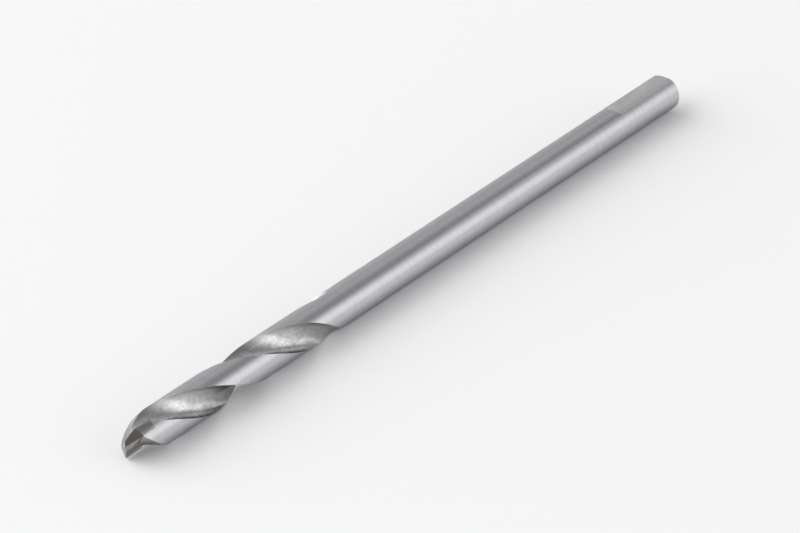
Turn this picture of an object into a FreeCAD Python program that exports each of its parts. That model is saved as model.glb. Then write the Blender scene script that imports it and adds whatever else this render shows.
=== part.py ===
import FreeCAD, Part
import math
import os

from FreeCAD import Vector

# Pilot drill for a hole saw: a round steel bar with a set-screw flat, two right-hand flutes,
# and a carbide plate brazed across its point.
#
# Lengths are in millimetres and angles in degrees. The drill is made upright: its axis is +Z,
# the end of its shank is at z = 0, and angles are measured about +Z, the right-handed way,
# from the direction that the flat faces. lay_down() puts it on its side with the flat on top.

# Bar and shank
DIAMETER = 6.35                 # shank and point, a quarter inch
LENGTH = 134.85                 # end of the shank to the middle of the chisel edge
END_CHAMFER = 0.4               # broken edge at the end of the shank
FRONT_LENGTH = 49.5             # front part, which is ground with a back taper
BACK_TAPER = 0.04               # loss of diameter from the point to the rear of that part
TAPER_LEAD = 0.6                # cone that leads from the shank down to it

# Set-screw flat
FLAT_DEPTH = 0.53
FLAT_LENGTH = 14.45             # full-depth length, from the end of the shank
FLAT_END_RADIUS = 1.4           # hollow that the milling cutter leaves at the end of the flat

# Flutes
LEAD = 44.6                     # length of one turn of the helix
WEB_THICKNESS = 1.9             # steel left between the two flutes
FLUTE_WIDTH_ANGLE = 93.0        # from a land's leading edge to the heel of the land ahead
FLUTE_DEEPEST_ANGLE = 38.0      # from the leading edge to the deepest line of the flute
FLUTE_LENGTH = 37.3             # full-depth length, from the point
FLUTE_WHEEL_RADIUS = 22.7       # wheel that leaves the run-out at the end of the flutes
FLUTE_SECTION_TURN = 15.0       # turn of the helix between two sections of the flute
RUN_OUT_SECTIONS = 12
FLUTE_ARC_EXCESS = 0.2          # share by which the cutter's arcs go on past the lands

# Carbide plate and its slot
PLATE_THICKNESS = 1.55
PLATE_HEIGHT = 4.3              # from its seat in the slot to the middle of the chisel edge
PLATE_ANGLE = -33.4             # direction of the first half of the plate
BRAZE_GAP = 0.16                # layer of braze under the plate and on both of its faces
LAND_LAG = 9.0                  # a land's leading edge behind the corner of its lip, at the seat

# Ground point
POINT_ANGLE = 132.8             # across the two lips
RELIEF_SLOPE = 0.39             # fall of the first facet behind the lip, for each millimetre
THINNED_SLOPE = 0.69            # the same for the facet that thins the point
THINNED_FALL = 0.35             # fall of that facet outwards, along the lip
CONE_HALF_ANGLE = 37.9          # cone that the steel behind the plate is ground on
CONE_OFFSET = 2.4               # its tip beyond the axis, along the lip
CONE_LEAD = 3.5                 # its tip ahead of the plate's middle plane
CONE_HEIGHT = 2.98              # its tip above the chisel edge
CONE_DEPTH = 7.5                # the ground steel ends this far behind the chisel edge

# Facet on the plate's front face, which leads the lip in towards the chisel edge. It runs out
# at the lip's outer corner, and at its inner end at RAKE_DEPTH below the chisel edge.
RAKE_INNER_END = 0.45           # its inner end, along the lip from the axis
RAKE_INNER_HALF = 0.5           # half the plate's thickness that it leaves there, at the top
RAKE_DEPTH = 3.0
RAKE_RUN_OUT = 4.0              # slope of its inner side: length along the lip to depth

# Gash that clears the steel from before each lip
GASH_TOP = -1.34                # its corner, along the lip, at the height GASH_TOP_DROP
GASH_TOP_DROP = 0.83            # below the chisel edge
GASH_TILT = 43.0                # of its back wall, from the drill's axis

# Excess length of cutting bodies, past the surfaces that they cut
OVERCUT = 2.0

RADIUS = DIAMETER / 2
HALF_PLATE = PLATE_THICKNESS / 2
SEAT_HEIGHT = LENGTH - PLATE_HEIGHT
LIP_FALL = 1 / math.tan(math.radians(POINT_ANGLE / 2))
ORIGIN = Vector(0, 0, 0)
AXIS = Vector(0, 0, 1)


def polar(radius, angle, z=0.0):
    """Point at a radius and an angle about the drill's axis."""
    turn = math.radians(angle)
    return Vector(radius * math.cos(turn), radius * math.sin(turn), z)


def on_plate(along, ahead, z=0.0):
    """Point given along the plate and ahead of its middle plane, in the cutting direction."""
    along_axis = polar(1.0, PLATE_ANGLE)
    ahead_axis = polar(1.0, PLATE_ANGLE + 90)
    return along_axis * along + ahead_axis * ahead + AXIS * z


def half_turn(shape):
    """The same shape on the drill's other side."""
    turned = shape.copy()
    turned.rotate(ORIGIN, AXIS, 180)
    return turned


def plate_prism(along, ahead, bottom, top):
    """Block square to the plate, from (first, last) places along and ahead of it."""
    corners = [on_plate(a, h, bottom) for a, h in (
        (along[0], ahead[0]), (along[1], ahead[0]), (along[1], ahead[1]), (along[0], ahead[1]))]
    base = Part.Face(Part.makePolygon(corners + corners[:1]))
    return base.extrude(AXIS * (top - bottom))


def bar():
    """Shank with a broken edge at its end, and the front part with its back taper, left long."""
    front_end = LENGTH - FRONT_LENGTH
    front_radius = RADIUS - BACK_TAPER / 2
    top = LENGTH + OVERCUT / 2
    top_radius = front_radius + (top - front_end) / FRONT_LENGTH * BACK_TAPER / 2
    outline = [
        (0, 0), (RADIUS - END_CHAMFER, 0), (RADIUS, END_CHAMFER), (RADIUS, front_end - TAPER_LEAD),
        (front_radius, front_end), (top_radius, top), (0, top), (0, 0)]
    face = Part.Face(Part.makePolygon([Vector(r, 0, z) for r, z in outline]))
    return face.revolve(ORIGIN, AXIS, 360)


def flat_cutter():
    """What is milled off the shank: flat over its length, hollow at its inner end."""
    depth_line = RADIUS - FLAT_DEPTH
    run = math.sqrt(FLAT_END_RADIUS ** 2 - (FLAT_END_RADIUS - FLAT_DEPTH) ** 2)
    middle = math.radians(45) * run / FLAT_END_RADIUS
    centre_height = depth_line + FLAT_END_RADIUS
    start = Vector(depth_line, 0, -OVERCUT)
    hollow_start = Vector(depth_line, 0, FLAT_LENGTH)
    hollow_middle = Vector(centre_height - FLAT_END_RADIUS * math.cos(middle), 0,
                           FLAT_LENGTH + FLAT_END_RADIUS * math.sin(middle))
    hollow_end = Vector(centre_height, 0, FLAT_LENGTH + FLAT_END_RADIUS)
    outer_end = Vector(centre_height, 0, -OVERCUT)
    outline = Part.Wire([
        Part.makeLine(start, hollow_start),
        Part.Arc(hollow_start, hollow_middle, hollow_end).toShape(),
        Part.makeLine(hollow_end, outer_end),
        Part.makeLine(outer_end, start)])
    face = Part.Face(outline)
    face.translate(Vector(0, -RADIUS, 0))
    return face.extrude(Vector(0, DIAMETER, 0))


def flute_arc(low, edge, outward):
    """Arc from the flute's deepest point, square to `outward` there, through and past one edge."""
    span = edge - low
    radius = span.Length ** 2 / (2 * span.dot(outward))
    centre = low + outward * radius
    sweep = 2 * math.asin(span.Length / (2 * radius)) * (1 + FLUTE_ARC_EXCESS)
    side = span - outward * span.dot(outward)
    side.normalize()

    def at(share):
        turn = sweep * share
        return centre - outward * (radius * math.cos(turn)) + side * (radius * math.sin(turn))

    return Part.Arc(low, at(0.5), at(1.0)).toShape(), at(1.0)


def flute_profile(edge_angle, z, lift):
    """Section of a flute across the drill, raised by `lift` where the wheel leaves the steel."""
    outward = polar(1.0, edge_angle + FLUTE_DEEPEST_ANGLE)
    rise = outward * lift + AXIS * z
    lead = polar(RADIUS, edge_angle) + rise
    heel = polar(RADIUS, edge_angle + FLUTE_WIDTH_ANGLE) + rise
    low = outward * (WEB_THICKNESS / 2) + rise
    lead_arc, lead_end = flute_arc(low, lead, outward)
    heel_arc, heel_end = flute_arc(low, heel, outward)
    outer = polar(3 * RADIUS, edge_angle + FLUTE_WIDTH_ANGLE / 2) + rise
    return Part.Wire([
        lead_arc,
        heel_arc,
        Part.makeLine(heel_end, outer),
        Part.makeLine(outer, lead_end)])


def land_edge_angle(z):
    """Angle of the first land's leading edge at a height."""
    lip_corner = PLATE_ANGLE + math.degrees(math.asin(HALF_PLATE / RADIUS))
    return lip_corner - LAND_LAG + 360 * (z - SEAT_HEIGHT) / LEAD


def flute_cutter():
    """One flute: a helix at full depth, then the run-out where the wheel is withdrawn."""
    full_depth_end = LENGTH - FLUTE_LENGTH
    top = LENGTH + OVERCUT
    steps = math.ceil((top - full_depth_end) / LEAD * 360 / FLUTE_SECTION_TURN)
    heights = [full_depth_end + (top - full_depth_end) * i / steps for i in range(steps + 1)]
    clear = RADIUS - WEB_THICKNESS / 2 + 0.3
    run_out = math.sqrt(2 * FLUTE_WHEEL_RADIUS * clear)
    tail = [full_depth_end - run_out * i / RUN_OUT_SECTIONS for i in range(RUN_OUT_SECTIONS, 0, -1)]
    sections = []
    for z in tail + heights:
        past_end = max(0.0, full_depth_end - z)
        lift = past_end ** 2 / (2 * FLUTE_WHEEL_RADIUS)
        sections.append(flute_profile(land_edge_angle(z), z, lift))
    return Part.makeLoft(sections, True, False)


def facet_waste(fall_along, fall_behind):
    """What is above a plane that passes the middle of the chisel edge and slopes as given."""
    reach = 2 * DIAMETER
    corners = []
    for along, ahead in ((-reach, -reach), (reach, -reach), (reach, reach), (-reach, reach)):
        corners.append(on_plate(along, ahead, LENGTH - fall_along * along + fall_behind * ahead))
    return Part.Face(Part.makePolygon(corners + corners[:1])).extrude(AXIS * (4 * reach))


def relief_cone():
    """Cone that the steel behind the first half of the plate is ground on."""
    lean = math.radians(POINT_ANGLE / 2 - CONE_HALF_ANGLE)
    downward = on_plate(math.sin(lean), 0) - AXIS * math.cos(lean)
    reach = 4 * CONE_DEPTH
    spread = reach * math.tan(math.radians(CONE_HALF_ANGLE))
    tip = on_plate(-CONE_OFFSET, CONE_LEAD, LENGTH + CONE_HEIGHT)
    return Part.makeCone(0, spread, reach, tip, downward)


def steel_waste():
    """What is ground off the steel behind the first half of the plate."""
    reach = 2 * DIAMETER
    behind = plate_prism((-reach, reach), (-reach, -HALF_PLATE / 2),
                         LENGTH - CONE_DEPTH, LENGTH + OVERCUT)
    return behind.cut(relief_cone())


def lip_gash():
    """Cut that clears the steel from before the first lip, down to the plate's seat."""
    past = RADIUS + OVERCUT
    slope = math.tan(math.radians(GASH_TILT))

    def wall(z):
        return GASH_TOP + (LENGTH - GASH_TOP_DROP - z) * slope

    top = LENGTH + OVERCUT
    outline = [(wall(top), top), (past, top), (past, SEAT_HEIGHT), (wall(SEAT_HEIGHT), SEAT_HEIGHT)]
    corners = [on_plate(along, HALF_PLATE, z) for along, z in outline]
    face = Part.Face(Part.makePolygon(corners + corners[:1]))
    return face.extrude(on_plate(0, past))


def rake_grind():
    """Wedge ground off the plate's front face before the first lip, deepest at the chisel edge."""
    past = RADIUS + OVERCUT
    corner_drop = LIP_FALL * RADIUS - RELIEF_SLOPE * HALF_PLATE
    most = HALF_PLATE - RAKE_INNER_HALF
    downwards = most / RAKE_DEPTH
    outwards = (most - downwards * corner_drop) / (RADIUS - RAKE_INNER_END)
    corners = []
    for along, drop in ((RAKE_INNER_END, -OVERCUT), (past, -OVERCUT),
                        (past, RAKE_DEPTH), (RAKE_INNER_END, RAKE_DEPTH)):
        ahead = RAKE_INNER_HALF + outwards * (along - RAKE_INNER_END) + downwards * drop
        corners.append(on_plate(along, ahead, LENGTH - drop))
    base = Part.Face(Part.makePolygon(corners + corners[:1]))
    return base.extrude(on_plate(-RAKE_RUN_OUT, 1.0))


def lay_down(shape):
    """Turn the upright drill onto its side: point along +X, flat on top, middle over the origin."""
    laid = shape.copy()
    laid.rotate(ORIGIN, Vector(1, 0, 1), 180)
    laid.translate(Vector(-LENGTH / 2, 0, RADIUS))
    return laid


def make_parts():
    """The three pieces, in the drill's own upright frame."""
    past = RADIUS + OVERCUT
    top = LENGTH + OVERCUT
    slot_half = HALF_PLATE + BRAZE_GAP
    plate_block = plate_prism((-past, past), (-HALF_PLATE, HALF_PLATE), SEAT_HEIGHT, top)
    slot = plate_prism((-past, past), (-slot_half, slot_half), SEAT_HEIGHT - BRAZE_GAP, top)

    steel = bar().cut(flat_cutter())
    plate = bar().common(plate_block)
    for cutter in (flute_cutter(), lip_gash(), steel_waste()):
        steel = steel.cut(cutter).cut(half_turn(cutter))
    plate = plate.cut(rake_grind()).cut(half_turn(rake_grind()))
    for cutter in (facet_waste(LIP_FALL, RELIEF_SLOPE), facet_waste(THINNED_FALL, THINNED_SLOPE)):
        plate = plate.cut(cutter).cut(half_turn(cutter))
        steel = steel.cut(cutter).cut(half_turn(cutter))
    return {
        "drill_body": steel.cut(slot),
        "carbide_tip": plate,
        "braze_layer": steel.common(slot).cut(plate_block),
    }


os.makedirs("parts", exist_ok=True)
for name, shape in make_parts().items():
    part = lay_down(shape)
    print(name, "solids", len(part.Solids), "volume %.2f" % part.Volume, "valid", part.isValid())
    part.exportStep("parts/%s.step" % name)
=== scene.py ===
import math

import bpy
from mathutils import Euler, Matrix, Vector

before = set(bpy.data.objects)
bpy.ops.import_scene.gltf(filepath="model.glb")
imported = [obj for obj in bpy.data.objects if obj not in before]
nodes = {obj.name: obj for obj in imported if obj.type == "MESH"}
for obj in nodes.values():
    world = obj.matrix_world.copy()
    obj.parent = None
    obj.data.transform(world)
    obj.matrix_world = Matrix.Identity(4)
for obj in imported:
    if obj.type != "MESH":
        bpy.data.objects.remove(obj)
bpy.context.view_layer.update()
scene = bpy.context.scene

# The camera stands where the photograph was taken from.
CAMERA_PLACE = (0.39293166, 0.32935432, 0.31106163)
CAMERA_TURN = (58.848071, 1.680932, 129.225316)
CAMERA_LENS = 170.36631

# Places on the drill, in metres.
RADIUS = 0.003175
FLAT_END = -0.0523
FLAT_HEIGHT = 0.0058
POINT_START = 0.058
PLATE_REAR = 0.0631
LIP_CORNER = 0.0660

# The flutes, in millimetres and degrees as in the part's source, but for places along +X.
MM = 1000
LEAD = 44.6
HALF_WEB = 0.95
SEAT_PLACE = 63.125
DEEPEST_AT_SEAT = 9.73
LEADING_EDGE = -38.0
HEEL_EDGE = 55.0
RUN_OUT_START = 30.125
WHEEL_RADIUS = 22.7
FLUTE_MARGIN = 0.06                # a point this near to a flute's exact arc lies on the flute
HEEL_PAINTED_SHADE = 1.2, 2.5              # how far aside of the deepest line the heel's painted shade starts, ends

# The way that the plate's cutting faces point, across the drill: its y and z.
PLATE_AHEAD = (-0.8348, 0.5505)

# The colours of each ground surface, from its darkest to its palest, and of what lies on it.
BAR = (0.53, 0.528, 0.546), (0.58, 0.577, 0.595)
FLUTE = (0.46, 0.456, 0.458), (0.72, 0.715, 0.72)
# painted shade on each flute's heel side, with a slight brown tone
FLUTE_HEEL_PAINTED_SHADE = (0.37, 0.357, 0.348)
POINT_STEEL = (0.36, 0.343, 0.33), (0.45, 0.432, 0.419)
FLAT = (0.56, 0.548, 0.546), (0.69, 0.675, 0.673)
FLAT_WORN = (0.78, 0.745, 0.725)
FLAT_EDGE = (0.50, 0.49, 0.50)
PLATE_SIDE = (0.26, 0.262, 0.285), (0.38, 0.382, 0.41)
PLATE_SMEAR = (0.44, 0.42, 0.405)
PLATE_RAKE = (0.24, 0.225, 0.215), (0.34, 0.32, 0.31)
# painted shade for the point's flank and painted light for its thinned facet, on the same carbide
PLATE_FLANK_PAINTED_SHADE = (0.085, 0.077, 0.075), (0.125, 0.114, 0.11)
PLATE_THINNED_PAINTED_LIGHT = (0.24, 0.228, 0.222), (0.34, 0.327, 0.318)
BRAZE_ROUND = (0.54, 0.52, 0.505), (0.68, 0.66, 0.64)
BRAZE_POINT = (0.17, 0.125, 0.10), (0.40, 0.20, 0.10)
FLOOR = (0.95, 0.95, 0.95, 1)
FLOOR_REACH = 8.0

# Brightness of the room round the drill's axis: degrees from overhead towards +Y, and level.
WALLS = (
    (-90, 0.88), (-80, 0.81), (-65, 0.67), (-50, 0.56), (-35, 0.57), (-20, 0.60), (-6, 0.52),
    (2, 0.425), (12, 0.385), (21, 0.40), (29, 0.485), (38, 0.73), (47, 1.0), (56, 1.23),
    (65, 1.32), (73, 1.28), (83, 1.19), (90, 1.09))
WALL_TINT = (0.99, 0.995, 1.01)
SLANT = 24                         # degrees that the walls turn towards +Y, from x = 0 to x = 1
LEVEL_AT = -0.65                   # the x at which the walls stand as listed
FRONT, FAR_FRONT = 0.42, 1.2       # levels of the room's front: on the +Y side, on the -Y side
REAR, FAR_REAR = 0.42, 0.95        # shares of the walls' level at the rear, on the same sides
MIDDLE = 1.2                       # the share from the middle forward
OVERHEAD = 0.65                    # the share straight overhead


class Nodes:
    """Adds the nodes of one tree and joins them."""

    def __init__(self, tree):
        self.tree = tree

    def add(self, kind, **settings):
        node = self.tree.nodes.new(kind)
        for key, value in settings.items():
            setattr(node, key, value)
        return node

    def set(self, socket, value):
        if isinstance(value, bpy.types.NodeSocket):
            self.tree.links.new(value, socket)
        else:
            socket.default_value = value

    def math(self, operation, a, b=0.0, c=0.0):
        node = self.add("ShaderNodeMath", operation=operation)
        for socket, value in zip(node.inputs, (a, b, c)):
            self.set(socket, value)
        return node.outputs[0]

    def times(self, a, b):
        return self.math("MULTIPLY", a, b)

    def plus(self, a, b):
        return self.math("ADD", a, b)

    def minus(self, a, b):
        return self.math("SUBTRACT", a, b)

    def scaled(self, a, scale, start):
        return self.math("MULTIPLY_ADD", a, scale, start)

    def length(self, a, b):
        return self.math("SQRT", self.plus(self.times(a, a), self.times(b, b)))

    def ramp(self, value, low, high, first=0.0, last=1.0):
        node = self.add("ShaderNodeMapRange", interpolation_type="SMOOTHSTEP")
        for socket, item in zip(node.inputs, (value, low, high, first, last)):
            self.set(socket, item)
        return node.outputs[0]

    def mix(self, factor, a, b):
        node = self.add("ShaderNodeMix", data_type="RGBA")
        self.set(node.inputs[0], factor)
        for socket, colour in ((node.inputs[6], a), (node.inputs[7], b)):
            self.set(socket, colour if isinstance(colour, bpy.types.NodeSocket) else (*colour, 1))
        return node.outputs[2]

    def vector(self, operation, a, b=None, scale=1.0):
        node = self.add("ShaderNodeVectorMath", operation=operation)
        self.set(node.inputs[0], a)
        if operation == "SCALE":
            self.set(node.inputs["Scale"], scale)
        elif b is not None:
            self.set(node.inputs[1], b)
        return node.outputs[0]

    def split(self, vector):
        node = self.add("ShaderNodeSeparateXYZ")
        self.set(node.inputs[0], vector)
        return tuple(node.outputs)

    def join(self, x, y, z):
        node = self.add("ShaderNodeCombineXYZ")
        for socket, value in zip(node.inputs, (x, y, z)):
            self.set(socket, value)
        return node.outputs[0]


class Shader(Nodes):
    """The nodes of a new material."""

    def __init__(self, name):
        self.material = bpy.data.materials.new(name)
        self.material.use_nodes = True
        super().__init__(self.material.node_tree)
        self.tree.nodes.clear()

    def noise(self, place, cycles, detail, roughness, seed=0.0):
        """Noise with so many cycles in a unit of length along each axis."""
        mapping = self.add("ShaderNodeMapping")
        self.set(mapping.inputs["Vector"], place)
        mapping.inputs["Scale"].default_value = cycles
        mapping.inputs["Location"].default_value = (seed, 2 * seed, -seed)
        node = self.add("ShaderNodeTexNoise")
        self.set(node.inputs["Vector"], mapping.outputs[0])
        node.inputs["Scale"].default_value = 1.0
        node.inputs["Detail"].default_value = detail
        node.inputs["Roughness"].default_value = roughness
        return node.outputs["Fac"]

    def place(self, margin):
        """A point, its x and y, its height over the axis, and if it is on the round outside."""
        point = self.add("ShaderNodeTexCoord").outputs["Object"]
        x, y, z = self.split(point)
        above = self.minus(z, RADIUS)
        on_round = self.ramp(self.length(y, above), RADIUS - 2 * margin, RADIUS - margin)
        return point, x, y, above, on_round

    def finish(self, colour, roughness, height, depth, anisotropy=0.0, normal=None, edge_tint=1.0):
        """Bare metal of a colour and roughness, with a bump as deep as depth."""
        surface = self.add("ShaderNodeBsdfPrincipled")
        self.set(surface.inputs["Base Color"], colour)
        self.set(surface.inputs["Roughness"], roughness)
        surface.inputs["Metallic"].default_value = 1.0
        surface.inputs["Specular Tint"].default_value = (edge_tint, edge_tint, edge_tint, 1)
        if anisotropy:
            # A quarter turn lays the grinding lines round the drill's axis.
            surface.inputs["Anisotropic"].default_value = anisotropy
            surface.inputs["Anisotropic Rotation"].default_value = 0.25
            tangent = self.add("ShaderNodeTangent", direction_type="RADIAL", axis="X")
            self.set(surface.inputs["Tangent"], tangent.outputs[0])
        bump = self.add("ShaderNodeBump")
        bump.inputs["Strength"].default_value = 1.0
        bump.inputs["Distance"].default_value = depth
        self.set(bump.inputs["Height"], height)
        if normal is not None:
            self.set(bump.inputs["Normal"], normal)
        self.set(surface.inputs["Normal"], bump.outputs[0])
        output = self.add("ShaderNodeOutputMaterial")
        self.set(output.inputs["Surface"], surface.outputs[0])
        return self.material


def flute_arc(edge):
    """Centre's distance from the axis, and radius, of the arc from the deepest line to an edge."""
    ahead = RADIUS * MM * math.cos(math.radians(edge)) - HALF_WEB
    aside = RADIUS * MM * math.sin(math.radians(edge))
    radius = (ahead ** 2 + aside ** 2) / (2 * ahead)
    return HALF_WEB + radius, radius


def flute_surface(s, point):
    """Place in a flute's own turning frame, the exact normal there, and whether it is a flute."""
    x, y, z = s.split(s.vector("SUBTRACT", s.vector("SCALE", point, scale=MM), (0, 0, RADIUS * MM)))
    rate = 2 * math.pi / LEAD
    turn = s.scaled(x, rate, math.radians(DEEPEST_AT_SEAT) - rate * SEAT_PLACE)
    cosine, sine = s.math("COSINE", turn), s.math("SINE", turn)
    outward = s.minus(s.times(z, cosine), s.times(y, sine))
    side = s.math("SIGN", outward)
    other_side = s.times(side, -1.0)
    outward = s.math("ABSOLUTE", outward)
    aside = s.times(s.plus(s.times(y, cosine), s.times(z, sine)), other_side)

    # The flute's section is two arcs, which the wheel lifts out over the run-out.
    past = s.math("MAXIMUM", s.minus(RUN_OUT_START, x), 0.0)
    lift = s.times(s.times(past, past), 0.5 / WHEEL_RADIUS)
    lead_centre, lead_radius = flute_arc(LEADING_EDGE)
    heel_centre, heel_radius = flute_arc(HEEL_EDGE)
    heel = s.math("GREATER_THAN", aside, 0.0)
    centre = s.scaled(heel, heel_centre - lead_centre, lead_centre)
    radius = s.scaled(heel, heel_radius - lead_radius, lead_radius)
    inward = s.plus(s.minus(centre, outward), lift)
    miss = s.math("ABSOLUTE", s.minus(s.length(inward, aside), radius))
    in_flute = s.math("LESS_THAN", miss, FLUTE_MARGIN)

    # The normal points to the arc's centre, and leans along the drill with helix and run-out.
    along = s.plus(s.times(s.times(aside, s.plus(centre, lift)), rate),
                   s.times(s.times(past, inward), 1 / WHEEL_RADIUS))
    to_centre, to_side = s.times(inward, side), s.times(aside, other_side)
    across = s.times(s.plus(s.times(sine, to_centre), s.times(cosine, to_side)), -1.0)
    upward = s.minus(s.times(cosine, to_centre), s.times(sine, to_side))
    normal = s.add("ShaderNodeVectorTransform", vector_type="NORMAL",
                   convert_from="OBJECT", convert_to="WORLD")
    s.set(normal.inputs[0], s.vector("NORMALIZE", s.join(along, across, upward)))
    return s.join(outward, aside, x), aside, normal.outputs[0], in_flute


def ground_steel():
    """Centreless-ground bar: fine rings round the axis, a flat ground across, and milled flutes."""
    s = Shader("ground_steel")
    point, x, y, above, on_round = s.place(margin=0.00004)
    in_turn, aside, true_normal, in_flute = flute_surface(s, point)
    in_flute = s.times(in_flute, s.minus(1.0, on_round))
    at_point = s.times(s.math("GREATER_THAN", x, POINT_START),
                       s.minus(1.0, s.math("MAXIMUM", in_flute, on_round)))
    flat_above = FLAT_HEIGHT - RADIUS
    on_flat = s.times(s.ramp(above, flat_above - 0.0001, flat_above),
                      s.minus(1.0, s.ramp(x, FLAT_END, FLAT_END + 0.0005)))
    on_flat = s.times(on_flat, s.minus(1.0, on_round))

    # Cycles are to the metre, but to the millimetre in the flute's turning frame.
    rings = s.noise(point, (16000, 500, 500), 3.0, 0.6)
    broad = s.noise(point, (1500, 200, 200), 3.0, 0.5, seed=3.0)
    grain = s.noise(in_turn, (2.0, 2.0, 1.4), 5.0, 0.7, seed=5.0)
    patches = s.noise(in_turn, (0.6, 0.6, 0.25), 3.0, 0.55, seed=7.0)
    cross = s.noise(point, (9000, 500, 500), 3.0, 0.6, seed=9.0)
    worn = s.noise(point, (260, 520, 260), 2.0, 0.5, seed=11.0)
    height = s.scaled(s.times(grain, in_flute), 26.0, s.scaled(broad, 0.4, rings))
    tone = s.plus(s.times(rings, 0.5), s.times(broad, 0.5))
    stains = s.scaled(patches, 0.4, s.times(grain, 0.6))

    # The flutes get painted shade towards the heel, with a slight brown tone; the flat has worn
    # patches and a darker near edge.
    flute = s.mix(s.ramp(stains, 0.35, 0.65), *FLUTE)
    flute = s.mix(s.ramp(aside, *HEEL_PAINTED_SHADE), flute, FLUTE_HEEL_PAINTED_SHADE)
    flat = s.mix(s.ramp(cross, 0.35, 0.65), *FLAT)
    flat = s.mix(s.ramp(worn, 0.5, 0.7, last=0.7), flat, FLAT_WORN)
    flat = s.mix(s.ramp(y, -0.0002, 0.0019, last=0.8), flat, FLAT_EDGE)
    colour = s.mix(s.ramp(tone, 0.3, 0.7), *BAR)
    colour = s.mix(in_flute, colour, flute)
    colour = s.mix(at_point, colour, s.mix(s.ramp(grain, 0.35, 0.65), *POINT_STEEL))
    colour = s.mix(on_flat, colour, flat)
    rough = s.scaled(on_flat, 0.12, s.scaled(in_flute, -0.04, s.scaled(tone, 0.06, 0.2)))

    normal = s.add("ShaderNodeMix", data_type="VECTOR")
    s.set(normal.inputs[0], in_flute)
    s.set(normal.inputs[4], s.add("ShaderNodeNewGeometry").outputs["Normal"])
    s.set(normal.inputs[5], true_normal)
    return s.finish(colour, rough, height, depth=0.0000006, anisotropy=0.7,
                    normal=normal.outputs[1], edge_tint=0.58)


def carbide():
    """Dark grey sintered carbide, with painted shade on the point's flank and painted light on its
    thinned facet.
    """
    s = Shader("carbide")
    point, x, y, above, on_round = s.place(margin=0.00003)
    lines = s.noise(point, (700, 9000, 700), 3.0, 0.6)
    grain = s.noise(point, (6000, 6000, 6000), 3.0, 0.6)
    fine = s.ramp(s.scaled(grain, 0.5, s.times(lines, 0.5)), 0.3, 0.7)

    # Braze is smeared over the edges of the plate's side, which is less bare towards its rear.
    ahead = s.plus(s.times(above, PLATE_AHEAD[1]), s.times(y, PLATE_AHEAD[0]))
    bare = s.minus(s.ramp(x, PLATE_REAR, LIP_CORNER, 0.00036, 0.0008), 0.0001)
    bare = s.scaled(grain, 0.0002, bare)
    smear = s.ramp(s.minus(s.math("ABSOLUTE", ahead), bare), -0.00004, 0.00004)
    side = s.mix(smear, s.mix(fine, *PLATE_SIDE), PLATE_SMEAR)

    # The facets at the point are told apart by how far they face forward: the thinned facet gets
    # painted light, the flank painted shade.
    forward = s.split(s.add("ShaderNodeTexCoord").outputs["Normal"])[0]
    colour = s.mix(on_round, s.mix(fine, *PLATE_RAKE), side)
    colour = s.mix(s.ramp(forward, 0.4, 0.6), colour, s.mix(fine, *PLATE_THINNED_PAINTED_LIGHT))
    colour = s.mix(s.ramp(forward, 0.82, 0.835), colour, s.mix(fine, *PLATE_FLANK_PAINTED_SHADE))
    return s.finish(colour, s.scaled(grain, 0.14, 0.13), lines, depth=0.0000008)


def braze():
    """Brazing metal: pale where it was ground round, brown with orange spots at the point."""
    s = Shader("braze")
    point, _, _, _, on_round = s.place(margin=0.00003)
    spots = s.noise(point, (2200, 2200, 2200), 4.0, 0.6)
    pale = s.mix(s.ramp(spots, 0.4, 0.65), *BRAZE_ROUND)
    brown = s.mix(s.ramp(spots, 0.5, 0.66), *BRAZE_POINT)
    colour = s.mix(on_round, brown, pale)
    return s.finish(colour, s.scaled(spots, 0.2, 0.26), spots, depth=0.000004)


def dress(node, material):
    mesh = nodes[node].data
    mesh.materials.clear()
    mesh.materials.append(material)


def lay_floor():
    """A plain pale floor, which the drill lies on."""
    mesh = bpy.data.meshes.new("floor")
    corners = [(-FLOOR_REACH, -FLOOR_REACH, 0), (FLOOR_REACH, -FLOOR_REACH, 0),
               (FLOOR_REACH, FLOOR_REACH, 0), (-FLOOR_REACH, FLOOR_REACH, 0)]
    mesh.from_pydata(corners, [], [(0, 1, 2, 3)])
    floor = bpy.data.objects.new("floor", mesh)
    scene.collection.objects.link(floor)
    s = Shader("floor")
    paint = s.add("ShaderNodeBsdfDiffuse")
    paint.inputs["Color"].default_value = FLOOR
    s.set(s.add("ShaderNodeOutputMaterial").inputs["Surface"], paint.outputs[0])
    mesh.materials.append(s.material)


def lamp(name, direction, distance, size, power):
    """A soft rectangular lamp that faces the middle of the drill."""
    light = bpy.data.lights.new(name, "AREA")
    light.shape = "RECTANGLE"
    light.size, light.size_y = size
    light.energy = power
    item = bpy.data.objects.new(name, light)
    item.location = Vector(direction).normalized() * distance
    item.rotation_euler = (-item.location).to_track_quat("-Z", "Y").to_euler()
    scene.collection.objects.link(item)


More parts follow.
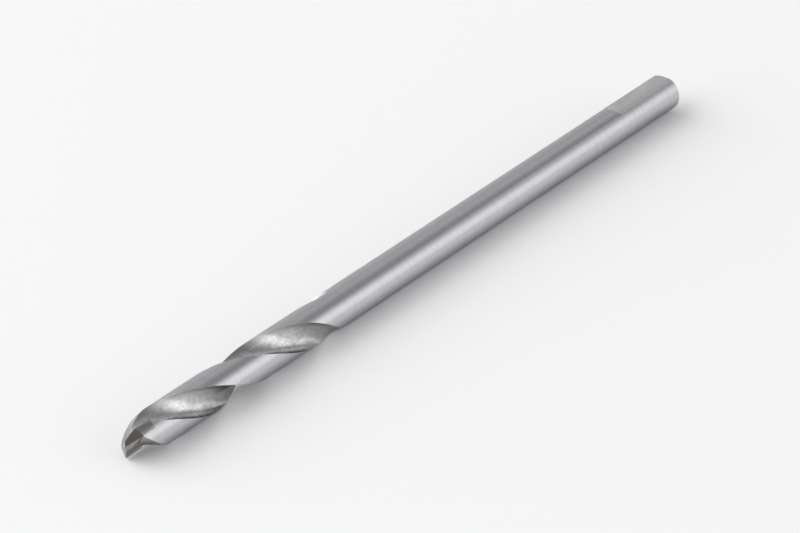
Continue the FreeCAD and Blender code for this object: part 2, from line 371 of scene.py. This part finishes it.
def studio():
    """Plain soft studio light: pale walls, brighter low on one side, darker overhead."""
    world = bpy.data.worlds.new("studio")
    world.use_nodes = True
    s = Nodes(world.node_tree)
    x, y, z = s.split(s.add("ShaderNodeTexCoord").outputs["Generated"])

    # The walls go by the angle from straight overhead towards +Y, and slant along the drill.
    angle = s.scaled(x, -math.radians(SLANT), s.math("ARCTAN2", y, z))
    share = s.add("ShaderNodeMapRange")
    s.set(share.inputs[0], angle)
    share.inputs[1].default_value = math.radians(-LEVEL_AT * SLANT - 90)
    share.inputs[2].default_value = math.radians(-LEVEL_AT * SLANT + 90)
    walls = s.add("ShaderNodeValToRGB")
    steps = walls.color_ramp.elements
    while len(steps) < len(WALLS):
        steps.new(0.5)
    for step, (degrees, level) in zip(steps, WALLS):
        step.position = (degrees + 90) / 180
        step.color = (*(level * tint for tint in WALL_TINT), 1)
    s.set(walls.inputs[0], share.outputs[0])

    # The rear and the overhead are dimmed, and the front has a level of its own.
    rear = s.ramp(y, 0.15, 0.4, FAR_REAR, REAR)
    lengthwise = s.ramp(x, -0.95, -0.7, rear, s.ramp(x, -0.5, -0.2, 1.0, MIDDLE))
    dimmed = s.times(s.ramp(z, 0.77, 0.96, 1.0, OVERHEAD), lengthwise)
    far_to_near = (y, -0.45, -0.05)
    front_start, front_full = s.ramp(*far_to_near, -0.1, 0.25), s.ramp(*far_to_near, 0.3, 0.65)
    front_level = s.ramp(*far_to_near, FAR_FRONT, FRONT)
    walls_dimmed = s.vector("SCALE", walls.outputs[0], scale=dimmed)
    room = s.mix(s.ramp(x, front_start, front_full), walls_dimmed, front_level)
    s.set(world.node_tree.nodes["Background"].inputs["Color"], room)
    scene.world = world


def stand_camera():
    lens = bpy.data.cameras.new("camera")
    lens.sensor_width = 36
    lens.lens = CAMERA_LENS
    lens.clip_start = 0.01
    lens.clip_end = 20
    camera = bpy.data.objects.new("camera", lens)
    camera.location = CAMERA_PLACE
    camera.rotation_euler = Euler([math.radians(angle) for angle in CAMERA_TURN])
    scene.collection.objects.link(camera)
    scene.camera = camera


dress("drill_body", ground_steel())
dress("carbide_tip", carbide())
dress("braze_layer", braze())
lay_floor()
lamp("softbox", direction=(0.6, -0.62, 0.55), distance=2.3, size=(4.4, 2.8), power=55.0)
studio()
stand_camera()
scene.view_settings.view_transform = "Standard"
